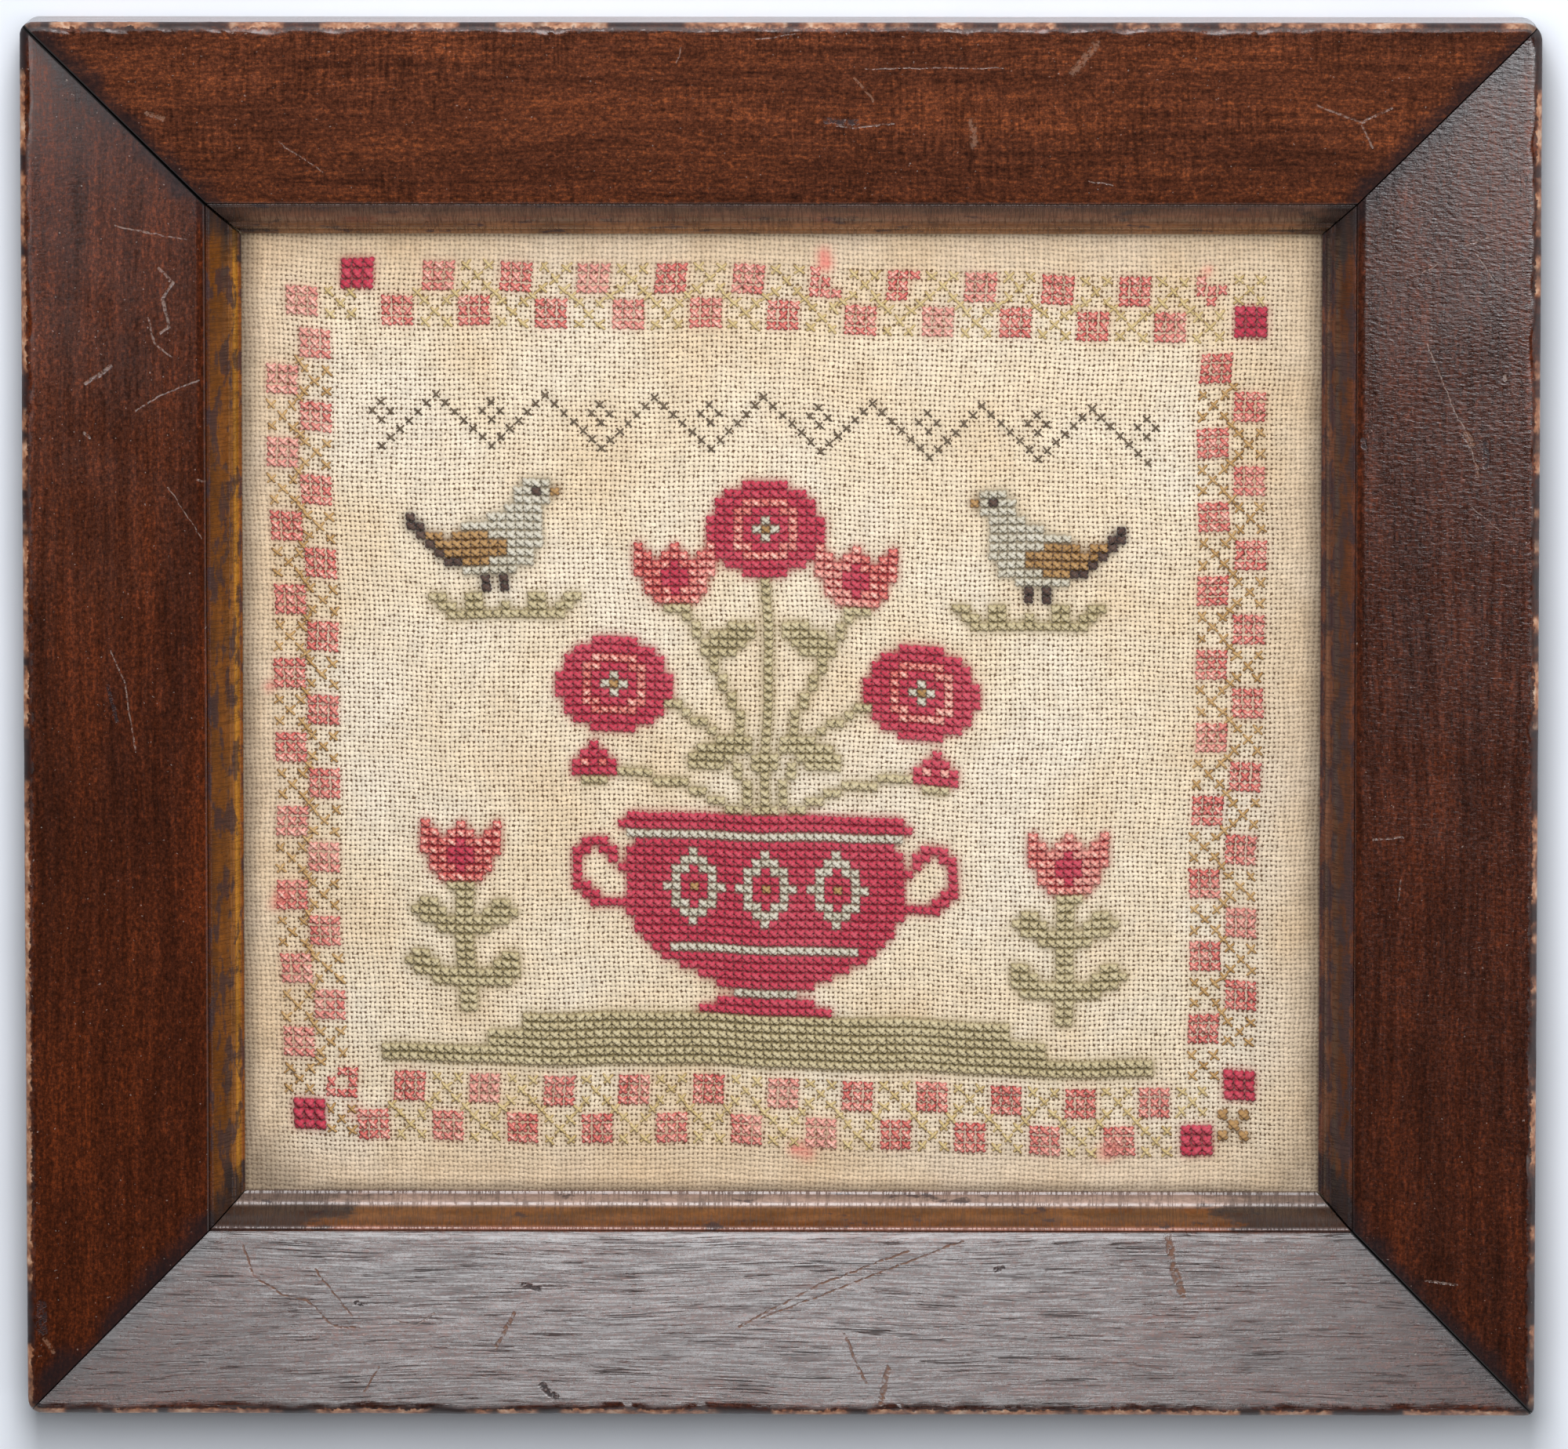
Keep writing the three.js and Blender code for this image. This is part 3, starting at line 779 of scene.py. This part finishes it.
def cloth_rise(x, y):
    """How far the cloth stands above where it is held."""
    rise = 0.0
    for middle_x, middle_y, length, width, turn, top in PUCKERS:
        angle = math.radians(turn)
        along = (x - middle_x) * math.cos(angle) + (y - middle_y) * math.sin(angle)
        across = (y - middle_y) * math.cos(angle) - (x - middle_x) * math.sin(angle)
        rise = rise + top * np.exp(-((2 * along / length) ** 2) - (2 * across / width) ** 2)
    ripple = 0.05 * (np.sin(x / 3.1 + y / 9) + np.sin(y / 2.7 - x / 11) + np.sin((x + y) / 5.3))
    margin = np.minimum(SIGHT_HALF_WIDTH - np.abs(x), SIGHT_HALF_HEIGHT - np.abs(y))
    return (rise + ripple) * smooth_step(margin, 0, HELD_MARGIN)


def tinted_and_shaded(x, y, tints_and_gap_shades):
    """The tint that the stitches and bleeds give to points of the cloth, and its strength there. Under
    stitches it is the wool's deep colour, partly painted shade in the gaps between strands.
    """
    color = np.zeros((len(x), 3))
    weight = np.zeros(len(x))
    for centre, tint, spread, strength in tints_and_gap_shades:
        for cx, cy in zip(*centre):
            near = np.flatnonzero((np.abs(x - cx) < 3 * spread) & (np.abs(y - cy) < 3 * spread))
            pull = strength * np.exp(-((x[near] - cx) ** 2 + (y[near] - cy) ** 2) / spread**2)
            color[near] += pull[:, None] * np.array(tint[:3])
            weight[near] += pull
    return color / np.maximum(weight, 1e-6)[:, None], np.clip(weight, 0, 1)


def pulled_open(x, y, pulls):
    """1 at points of the cloth where an open stitch is, 0 elsewhere."""
    pulled = np.zeros(len(x))
    for cx, cy in zip(*pulls):
        pulled[(np.abs(x - cx) < PULL_REACH) & (np.abs(y - cy) < PULL_REACH)] = 1
    return pulled


def make_cloth(tints_and_gap_shades, pulls):
    """The cloth. dyes are the middles of stitches, the tint they give it (partly painted shade in the
    gaps between strands), its spread and strength; pulls are the middles of open stitches, whose
    needle holes show."""
    half_x = SIGHT_HALF_WIDTH + CLOTH_TUCK
    half_y = SIGHT_HALF_HEIGHT + CLOTH_TUCK
    columns = int(2 * half_x / CLOTH_CELL)
    rows = int(2 * half_y / CLOTH_CELL)
    lines = np.linspace(-half_y, half_y, rows), np.linspace(-half_x, half_x, columns)
    y, x = (values.ravel() for values in np.meshgrid(*lines, indexing="ij"))
    top = CLOTH_TOP + cloth_rise(x, y)
    face = np.stack([x, y, top], -1)
    back = np.stack([x, y, top - CLOTH_THICKNESS], -1)
    size = rows * columns
    faces = grid_faces(rows, columns) + grid_faces(rows, columns, start=size, flip=True)
    index = np.arange(size).reshape(rows, columns)
    rim = np.concatenate([index[0], index[1:, -1], index[-1, -2::-1], index[-2:0:-1, 0]])
    after = np.roll(rim, -1)
    faces += np.stack([after, rim, rim + size, after + size], -1).tolist()
    u, v = counts_at(x, y)
    threads = np.tile(np.stack([u, v, 0 * u], -1) * WEAVE, (2, 1))
    tint, weight = tinted_and_shaded(x, y, tints_and_gap_shades)
    cover = np.stack([weight, pulled_open(x, y, pulls), 0 * weight], -1)
    attributes = [("threads", threads), ("tint_and_gap_shade", np.tile(tint, (2, 1))), ("cover", np.tile(cover, (2, 1)))]
    points = np.concatenate([face, back])
    cloth = make_piece("even_weave_cloth", points, faces, cloth_material(), attributes, 50)
    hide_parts("sampler_cloth")
    return cloth


# ---- Stitches ----

STRAND_STATIONS = np.array([0, 0.16, 0.5, 0.84, 1])  # shares of its length
STRAND_RISE = np.array([0.62, 1.0, 0.62])  # between its ends, as shares of its height
STRAND_GIRTH = np.array([0.55, 0.94, 1.0, 0.94, 0.55])
STRAND_SIDES = 6
BURIED = 0.45  # a strand's ends go this far into the cloth
FLATNESS = 0.7  # a strand's usual thickness over its width
LEANING = 0.08  # the share of crosses that are made the other way round


def strand_mesh(starts, ends, width, thickness, lift):
    """Closed arched threads between pairs of points on the cloth. lift raises their middles."""
    count = len(starts)
    run = ends - starts
    length = np.linalg.norm(run, axis=1, keepdims=True)
    across = np.stack([-run[:, 1], run[:, 0]], -1) / length
    share = STRAND_STATIONS[None, :, None]
    path = starts[:, None] + run[:, None] * share
    bow = rng.normal(0, 0.05, (count, 1, 1)) * width * np.sin(share * math.pi)
    path = path + across[:, None] * bow
    height = np.concatenate([[-BURIED], STRAND_RISE * (thickness / 2 + lift), [-BURIED]])
    height = height[None] * (1 + rng.normal(0, 0.06, (count, 1)))
    height = height + CLOTH_TOP + cloth_rise(path[..., 0], path[..., 1])
    girth = STRAND_GIRTH[None] * (1 + rng.normal(0, 0.07, (count, 1)))
    angles = np.arange(STRAND_SIDES) * 2 * math.pi / STRAND_SIDES
    side = np.cos(angles)[None, None] * girth[..., None] * width / 2
    up = np.sin(angles)[None, None] * girth[..., None] * thickness / 2
    points = np.empty((count, len(STRAND_STATIONS), STRAND_SIDES, 3))
    points[..., :2] = path[:, :, None] + across[:, None, None] * side[..., None]
    points[..., 2] = height[..., None] + up
    ring = len(STRAND_STATIONS) * STRAND_SIDES
    one = grid_faces(len(STRAND_STATIONS), STRAND_SIDES, closed=True)
    quads = (np.array(one)[None] + (np.arange(count) * ring)[:, None, None]).reshape(-1, 4)[:, ::-1]
    caps = np.stack([np.arange(STRAND_SIDES), ring - 1 - np.arange(STRAND_SIDES)])
    caps = (caps[None] + (np.arange(count) * ring)[:, None, None]).reshape(-1, STRAND_SIDES)
    ply = np.empty_like(points)
    ply[..., 0] = STRAND_STATIONS[None, :, None]
    ply[..., 1] = angles / (2 * math.pi)
    ply[..., 2] = rng.uniform(0, 1, (count, 1, 1))
    return points.reshape(-1, 3), quads.tolist() + caps.tolist(), ply.reshape(-1, 3)


def cross_stitches(name, crosses, width, material, thickness=None, jitter=0.1):
    """One piece of crosses: each is its middle u, v and half size across and up, in counts. jitter
    shakes the strands' ends, in counts too."""
    crosses = np.asarray(crosses, float)
    thickness = thickness or width * FLATNESS
    u, v, half_u, half_v = crosses.T
    lean = np.where(rng.uniform(size=len(u)) < LEANING, -1, 1)
    parts = []
    for layer, slant in ((0, 1), (1, -1)):
        slope = slant * lean
        shake = rng.normal(0, jitter, (4, len(u)))
        starts = np.stack(on_cloth(u - half_u + shake[0], v - slope * half_v + shake[1]), -1)
        ends = np.stack(on_cloth(u + half_u + shake[2], v + slope * half_v + shake[3]), -1)
        parts.append(strand_mesh(starts, ends, width, thickness, layer * thickness * 0.75))
    points = np.concatenate([part[0] for part in parts])
    shift = len(parts[0][0])
    faces = parts[0][1] + [[k + shift for k in face] for face in parts[1][1]]
    ply = np.concatenate([part[2] for part in parts])
    return make_piece(name, points, faces, material, [("ply", ply)])


# ---- Border: pink blocks of nine crosses and tan ones of five, in two staggered rows ----

REPEAT = 21  # in counts
BLOCK_STEP = 3  # counts to a stitch
NEAR = 16  # blocks of two rows that are nearer than this, in counts, have a cross between them


def stepped(first, count, step=REPEAT):
    return [first + step * k for k in range(count)]


# Middles of the pink blocks, in counts across and up, row by row, and of the crimson ones.
PINK_ROWS = {
    "top outer": [(u, 126) for u in stepped(-94, 11)],
    "top inner": [(-131, 118)] + [(u, 116) for u in stepped(-105, 11)],
    "left outer": [(-137, v) for v in stepped(95, 10, -REPEAT)],
    "left inner": [(-128, v) for v in stepped(106, 10, -REPEAT)] + [(-125, -105)],
    "right inner": [(118, v) for v in stepped(104, 10, -REPEAT)],
    "right outer": [(128, v) for v in stepped(93, 9, -REPEAT)],
    "bottom upper": [(u, -106) for u in stepped(-106, 11)],
    "bottom lower": [(u, -117) for u in stepped(-116, 11)],
}
CRIMSON_BLOCKS = [(-116, 126.5), (127, 117), (-134, -114.5), (128, -101), (116, -117)]
GOLD_CROSS = (126.4, -112.6)
# Crosses that are gone from some pink blocks, by column and row from the block's middle.
LOST = {
    (11, 126): ((0, 1), (1, 1), (1, 0)),
    (32, 126): ((1, 0), (1, -1)),
    (116, 126): ((0, 1), (1, 1), (-1, -1), (1, -1)),
    (-125, -105): ((0, 0), (-1, 1)),
}
BLEED_COLOR = (238, 132, 120)
# Where the pink has bled into the cloth: x, y, spread and strength.
BLEEDS = (
    (9.4, 102.6, 1.5, 0.7), (9.8, 100.2, 1.6, 0.9), (94.4, 98.8, 1.1, 0.6), (3.2, -97.6, 1.5, 0.8),
    (5.8, -98.6, 1.7, 0.6), (72.3, -98.4, 1.8, 0.55), (-111.2, -41, 1.7, 0.8), (-113.8, 6, 1.3, 0.6),
    (-113, -43, 1.4, 0.4), (-95.5, -89.5, 2.0, 0.3), (74.8, -97, 1.5, 0.5),
)


def block_crosses(middles):
    """The nine crosses of each block, less the lost ones."""
    crosses = []
    for u, v in middles:
        for row in (-1, 0, 1):
            for column in (-1, 0, 1):
                flat_u, flat_v = (1.5, 1.25) if row else (1.3, 1.5)
                if (column, row) not in LOST.get((u, v), ()):
                    crosses.append((u + column * BLOCK_STEP, v + row * BLOCK_STEP, flat_u, flat_v))
    return crosses


def quincunx(u, v):
    """Five crosses, as on a die."""
    offsets = ((-1, -1), (1, -1), (0, 0), (-1, 1), (1, 1))
    return [(u + BLOCK_STEP * du, v + BLOCK_STEP * dv, 1.5, 1.5) for du, dv in offsets]


def between_crosses(outer, inner, upright):
    """The crosses between the pink blocks of two rows. upright rows run up the sampler."""
    crosses = []
    du, dv = (0, -REPEAT / 2) if upright else (REPEAT / 2, 0)
    for u, v in PINK_ROWS[outer] + PINK_ROWS[inner]:
        crosses += quincunx(u + du, v + dv)
    for u, v in PINK_ROWS[outer]:
        for other_u, other_v in PINK_ROWS[inner]:
            if abs(u - other_u) < NEAR and abs(v - other_v) < NEAR:
                crosses.append(((u + other_u) / 2, (v + other_v) / 2, 1.5, 1.5))
    return crosses


# ---- The middle: a vase of flowers, two doves, two tulips and a zigzag, charted here ----

CHART_STEP = 2.5  # counts to a charted stitch
CHART_MIDDLE = (-5, 0)  # in counts
LETTERS = {"c": "crimson", "p": "pink", "w": "pale", "o": "olive", "t": "gold", "b": "brown"}
MOTIFS = {
    "tulip": ("p...p...p", "pp.ppp.pp", "ppppcpppp", "pppcccppp", ".ppcccpp.", ".pppcppp.", "..ppppp..",
              "...ooo..."),
    "rose": ("....ccccc....", "..ccccccccc..", ".cccpppppccc.", ".ccppcccppcc.", "cccpccwccpccc",
             "cccpcwtwcpccc", "cccpccwccpccc", ".ccppcccppcc.", ".cccpppppccc.", "..ccccccccc..",
             "....ccccc...."),
    "bud": ("..c..", ".ccc.", "cpcpc", "ccccc", ".ooo."),
    "leaf": ("...ooo", ".ooooo", "ooooo.", "oooo.."),
    "dove": (".............www..", "............wwbwt.", "............wwww..", "...........wwww...",
             "b........wwwwww...", "bb....wwwwwwwww...", ".btt.ttttwwwwww...", "..bttttttttwwww...",
             "...btttttttwww....", "....bbtttwwwww....", "......wwwwww......", "........b.b.......",
             "........b.b......."),
    "sprig": ("oo..oo.....oo..oo", ".oo.oo..o..oo.oo.", "..ooooooooooooo.."),
    "plant": ("......oo.....", "..oo..oo..oo.", ".oooo.oo.oooo", "..oooooooooo.", "....oooooo...",
              "......oo.....", "......oo.....", ".oo...oo...oo", "oooo..oo..ooo", ".oooooooooooo",
              "...ooooooooo.", "......oo.....", "......oo.....", "......oo....."),
}
# The left half of the vase and its middle column.
VASE = (
    "......cccccccccccccccc", ".....ccccccccccccccccc", "......wwwwwwwwwwwwwwww", ".ccc...ccccccccccccccc",
    "cc.cc.cccccccwcccccccw", "c...c.ccccccwwwcccccww", "c....ccccccwwcwwcccwwc", "c.....cccccwcccwcccwcc",
    "cc....ccccwwctcwwcwwct", ".cc...cccccwcccwcccwcc", "..cccccccccwwcwwcccwwc", "......ccccccwwwcccccww",
    ".......ccccccwcccccccw", ".......ccccccccccccccc", "........cccccccccccccc", ".........ccwwwwwwwwwww",
    "..........cccccccccccc", "............cccccccccc", "..............cccccccc", "................cccccc",
    "..................wwww", "................cccccc", "..............cccccccc",
)
TERRACE = (43, 43, 31, 31, 27, 27)  # half the length of each row, from the lowest up
TERRACE_BOTTOM = -39
PLACES = (  # motif, left column and top row; each has its mirror image on the other side
    ("rose", -23, 9), ("tulip", -14, 20), ("bud", -21, -3), ("leaf", -8, -2), ("leaf", -7, 11),
    ("dove", -39, 27), ("sprig", -37, 14), ("plant", -40, -20), ("tulip", -38, -12),
)
STEMS = (
    ((0, -11), (0, 16)), ((1, -11), (4, -3), (10, 2), (14, 3)), ((2, -11), (9, -7), (17, -6)),
    ((1, -5), (5, 5), (9, 12)),
)
ZIGZAG = {"bottom": 31, "reach": 42, "period": 12}


def chart_cells():
    """The charted stitches: each cell's column and row, and the letter of its wool."""
    cells = {}

    def stamp(chart, left, top, flipped=False):
        for row, line in enumerate(chart):
            for column, letter in enumerate(line[::-1] if flipped else line):
                if letter != ".":
                    cells[left + column, top - row] = letter

    for row, half in enumerate(TERRACE):
        for column in range(-half, half + 1):
            cells[column, TERRACE_BOTTOM + row] = "o"
    for stem in STEMS:
        for (x0, y0), (x1, y1) in zip(stem, stem[1:]):
            steps = max(abs(x1 - x0), abs(y1 - y0))
            for k in range(steps + 1):
                column = round(x0 + (x1 - x0) * k / steps)
                row = round(y0 + (y1 - y0) * k / steps)
                cells[column, row] = cells[-column, row] = "o"
    stamp(MOTIFS["rose"], -6, 27)
    for name, left, top in PLACES:
        chart = MOTIFS[name]
        stamp(chart, left, top)
        stamp(chart, 1 - left - len(chart[0]), top, flipped=True)
    stamp([line + line[-2::-1] for line in VASE], 1 - len(VASE[0]), -11)
    return cells


def zigzag_cells():
    """The zigzag, with a small diamond over each of its low points."""
    period = ZIGZAG["period"]
    cells = []
    for column in range(-ZIGZAG["reach"], ZIGZAG["reach"] + 1):
        phase = (column + ZIGZAG["reach"]) % period
        cells.append((column, ZIGZAG["bottom"] + min(phase, period - phase)))
        if phase == 0:
            cells += [(column, ZIGZAG["bottom"] + rise) for rise in (3, 5)]
            cells += [(column + side, ZIGZAG["bottom"] + 4) for side in (-1, 1)]
    return cells


def charted(cells, half=(0.5, 0.5)):
    """The crosses of charted cells. half is their half size across and up, in cells."""
    u0, v0 = CHART_MIDDLE
    size = CHART_STEP * half[0], CHART_STEP * half[1]
    return [(u0 + CHART_STEP * x, v0 + CHART_STEP * y, *size) for x, y in cells]


# ---- Build ----

WOOLS = {  # colour; deep, the painted shade at a strand's sides and ends and its tint on the cloth; pale, its painted highlight and faded patches
    "crimson": ((202, 60, 82), (162, 42, 60), (214, 96, 110)),
    "pink": ((226, 118, 108), (160, 50, 50), (255, 216, 196)),
    "tan": ((210, 184, 126), (164, 134, 82), (226, 206, 156)),
    "ochre": ((192, 150, 92), (128, 90, 46), (216, 182, 130)),
    "gold": ((172, 130, 76), (112, 78, 40), (200, 160, 110)),
    "olive": ((200, 184, 142), (148, 132, 92), (220, 206, 168)),
    "pale": ((208, 200, 178), (160, 148, 124), (226, 220, 204)),
    "brown": ((84, 62, 54), (48, 32, 28), (112, 90, 78)),
    "grey": ((104, 88, 68), (64, 50, 38), (130, 114, 92)),
}
wool = {name: wool_material(name, *colors) for name, colors in WOOLS.items()}

# Each side's colours from the rail inward: rim, step, body, bead, glint and lip. glint is a painted highlight
# line (on the left partly bright worn gilt); the bottom's pale rim and bead are painted highlights too.
MOULDINGS = {
    "top": {"seed": 41, "polish": 1.38, "patches": 0.02, "tarnish": 22, "colors": (
        (84, 60, 50), (88, 60, 48), (108, 72, 54), (120, 80, 52), (132, 86, 46), (136, 98, 68))},
    "left": {"seed": 42, "polish": 1.25, "patches": 0.1, "tarnish": 24, "colors": (
        (84, 42, 16), (100, 56, 14), (108, 62, 18), (116, 70, 24), (170, 114, 32), (120, 66, 22))},
    "bottom": {"seed": 43, "polish": 1.55, "patches": 0.0, "tarnish": 62, "colors": (
        (150, 96, 76), (104, 60, 24), (108, 68, 34), (158, 134, 122), (150, 126, 114), (122, 96, 84))},
    "right": {"seed": 44, "polish": 1.32, "patches": 0.13, "tarnish": 30, "colors": (
        (92, 50, 32), (84, 42, 18), (78, 42, 22), (92, 56, 38), (106, 66, 46), (96, 58, 44))},
}
# figure and comb: cross markings of the figure, partly a painted chatoyant sheen
# ridge: how much brightness the shade painted towards a rail's ridge leaves (only the top rail has it)
RAILS = {
    "top": {"seed": 11, "shade": (0.99, 1.01, 1.05), "ridge": 0.8, "figure": 0.14, "comb": 0.3,
            "wrinkle": 0.4, "fissure": 0.1, "wear": 0.1, "polish": 1.45},
    "left": {"seed": 12, "shade": (0.76, 0.65, 0.52), "ridge": 1.0, "figure": 0.05, "comb": 0.04,
             "wrinkle": 0.3, "fissure": 0.1, "wear": 0.12, "polish": 1.3},
    "bottom": {"seed": 13, "shade": (0.66, 0.58, 0.56), "ridge": 1.0, "figure": 0.04, "comb": 0.03,
               "wrinkle": 0.15, "fissure": 1.0, "wear": 0.12, "polish": 1.62},
    "right": {"seed": 14, "shade": (0.70, 0.60, 0.50), "ridge": 1.0, "figure": 0.12, "comb": 0.08,
              "wrinkle": 1.7, "fissure": 0.2, "wear": 0.08, "polish": 1.48},
}
for side_name, looks in RAILS.items():
    make_rail(side_name, **looks)
    make_moulding(side_name, **MOULDINGS[side_name])

DYE_SPREAD = 1.3
CHARTED_WIDTH = 0.98  # of the wool in the charted stitches
CHARTED_HALF = (0.54, 0.42)
tints_and_gap_shades = []


def sew(name, crosses, wool_name, width, cover=1.0, **more):
    """Makes one piece of stitches and remembers where its wool tints the cloth, and how much: its deep
    colour, partly painted shade in the gaps between strands.
    """
    cross_stitches(name, crosses, width, wool[wool_name], **more)
    u, v = np.asarray(crosses, float).T[:2]
    if cover:
        # the deep wool colour on the cloth under the stitches: wool fibres, and painted shade in the gaps
        tints_and_gap_shades.append((on_cloth(u, v), srgb(*WOOLS[wool_name][1]), DYE_SPREAD, cover))


pink_blocks = [middle for middles in PINK_ROWS.values() for middle in middles]
pink_crosses = block_crosses(pink_blocks)
level_crosses = between_crosses("top outer", "top inner", False)
level_crosses += between_crosses("bottom upper", "bottom lower", False)
upright_crosses = between_crosses("left outer", "left inner", True)
upright_crosses += between_crosses("right outer", "right inner", True)
sew("border_pink_stitches", pink_crosses, "pink", 0.78, 0.3)
sew("border_crimson_stitches", block_crosses(CRIMSON_BLOCKS), "crimson", 1.25)
sew("border_tan_stitches", level_crosses, "tan", 0.62, 0.12, jitter=0.25)
sew("border_ochre_stitches", upright_crosses, "ochre", 0.6, 0.15, jitter=0.25)
sew("border_gold_stitches", quincunx(*GOLD_CROSS), "gold", 1.35, 0.8, thickness=0.5, jitter=0.2)
chart = chart_cells()
for letter, wool_name in LETTERS.items():
    cells = [cell for cell, found in chart.items() if found == letter]
    sew(f"motif_{wool_name}_stitches", charted(cells, CHARTED_HALF), wool_name, CHARTED_WIDTH, 0.9)
sew("zigzag_grey_stitches", charted(zigzag_cells()), "grey", 0.45, 0)

for x, y, spread, strength in BLEEDS:
    tints_and_gap_shades.append((([x], [y]), srgb(*BLEED_COLOR), spread, strength))
open_crosses = np.array(level_crosses + upright_crosses + pink_crosses)
cloth = make_cloth(tints_and_gap_shades, on_cloth(open_crosses[:, 0], open_crosses[:, 1]))

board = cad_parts["backing_board"]
board.data.materials.clear()
board.data.materials.append(board_material())

# ---- Floor, light and camera ----


def floor_material():
    look = Look("pale_floor")
    tone = look.place().noise(60.0, detail=3)
    return look.finish(tone.ramp((0.3, (233, 238, 245)), (0.7, (238, 243, 250))), 0.8)


FLOOR_HALF = 6.0  # in metres
corner_signs = ((-1, -1), (1, -1), (1, 1), (-1, 1))
floor_mesh = bpy.data.meshes.new("floor")
floor_mesh.from_pydata([(x * FLOOR_HALF, y * FLOOR_HALF, 0) for x, y in corner_signs], [], [(0, 1, 2, 3)])
floor_mesh.materials.append(floor_material())
floor = bpy.data.objects.new("floor", floor_mesh)
bpy.context.scene.collection.objects.link(floor)


def facing(away):
    """The turn of a lamp or camera with its back to away and its right side level."""
    right = Vector((0, 1, 0)).cross(away).normalized()
    return Matrix((right, away.cross(right), away)).transposed().to_euler()


def soft_light(name, place, size, power, color=(1, 1, 1)):
    """A soft box in metres that faces the object's middle."""
    light = bpy.data.lights.new(name, "AREA")
    light.shape = "RECTANGLE"
    light.size, light.size_y = size
    light.energy = power
    light.color = color
    lamp = bpy.data.objects.new(name, light)
    lamp.location = place
    lamp.rotation_euler = facing(Vector(place).normalized())
    lamp.visible_camera = False
    bpy.context.scene.collection.objects.link(lamp)


soft_light("key", (-0.022, 0.526, 1.0), (0.37, 1.097), 14.2, (0.982, 0.984, 1.006))
soft_light("fill", (0.9, -0.1, 0.5), (0.6, 0.6), 2.0)

ROOM_LOW = 1.5  # how bright the room is at the horizon
ROOM_HIGH = 0.04  # and overhead
DIM_FROM = 0.6  # the height, on a sphere one metre in radius, from which it is that dim


def make_room():
    """A white room: bright low down all round and dim overhead."""
    world = bpy.data.worlds.new("studio")
    world.use_nodes = True
    tree = world.node_tree
    direction = tree.nodes.new("ShaderNodeTexCoord")
    split = tree.nodes.new("ShaderNodeSeparateXYZ")
    brightness = tree.nodes.new("ShaderNodeMapRange")
    brightness.interpolation_type = "SMOOTHSTEP"
    for socket, value in zip(range(1, 5), (0.0, DIM_FROM, ROOM_LOW, ROOM_HIGH)):
        brightness.inputs[socket].default_value = value
    tree.links.new(direction.outputs["Generated"], split.inputs[0])
    tree.links.new(split.outputs["Z"], brightness.inputs[0])
    tree.links.new(brightness.outputs[0], tree.nodes["Background"].inputs[1])
    tree.nodes["Background"].inputs[0].default_value = (0.95, 0.975, 1.0, 1)
    bpy.context.scene.world = world


make_room()
bpy.context.scene.view_settings.view_transform = "Standard"

LOOK_AT = Vector((0.81, -0.28, 24)) * MM
CAMERA_DISTANCE = 3.0  # in metres
CAMERA_RISE = math.radians(6.31)  # towards the sampler's top
CAMERA_YAW = math.radians(0.73)  # towards its right
LENS = 311.6
SENSOR_WIDTH = 36


def make_camera():
    data = bpy.data.cameras.new("camera")
    data.sensor_width = SENSOR_WIDTH
    data.lens = LENS
    data.clip_start = 0.1
    data.clip_end = 30
    camera = bpy.data.objects.new("camera", data)
    level = math.cos(CAMERA_RISE)
    away = Vector((math.sin(CAMERA_YAW) * level, math.sin(CAMERA_RISE), math.cos(CAMERA_YAW) * level))
    camera.location = LOOK_AT + CAMERA_DISTANCE * away
    camera.rotation_euler = facing(away)
    bpy.context.scene.collection.objects.link(camera)
    bpy.context.scene.camera = camera


make_camera()

bpy.context.view_layer.update()
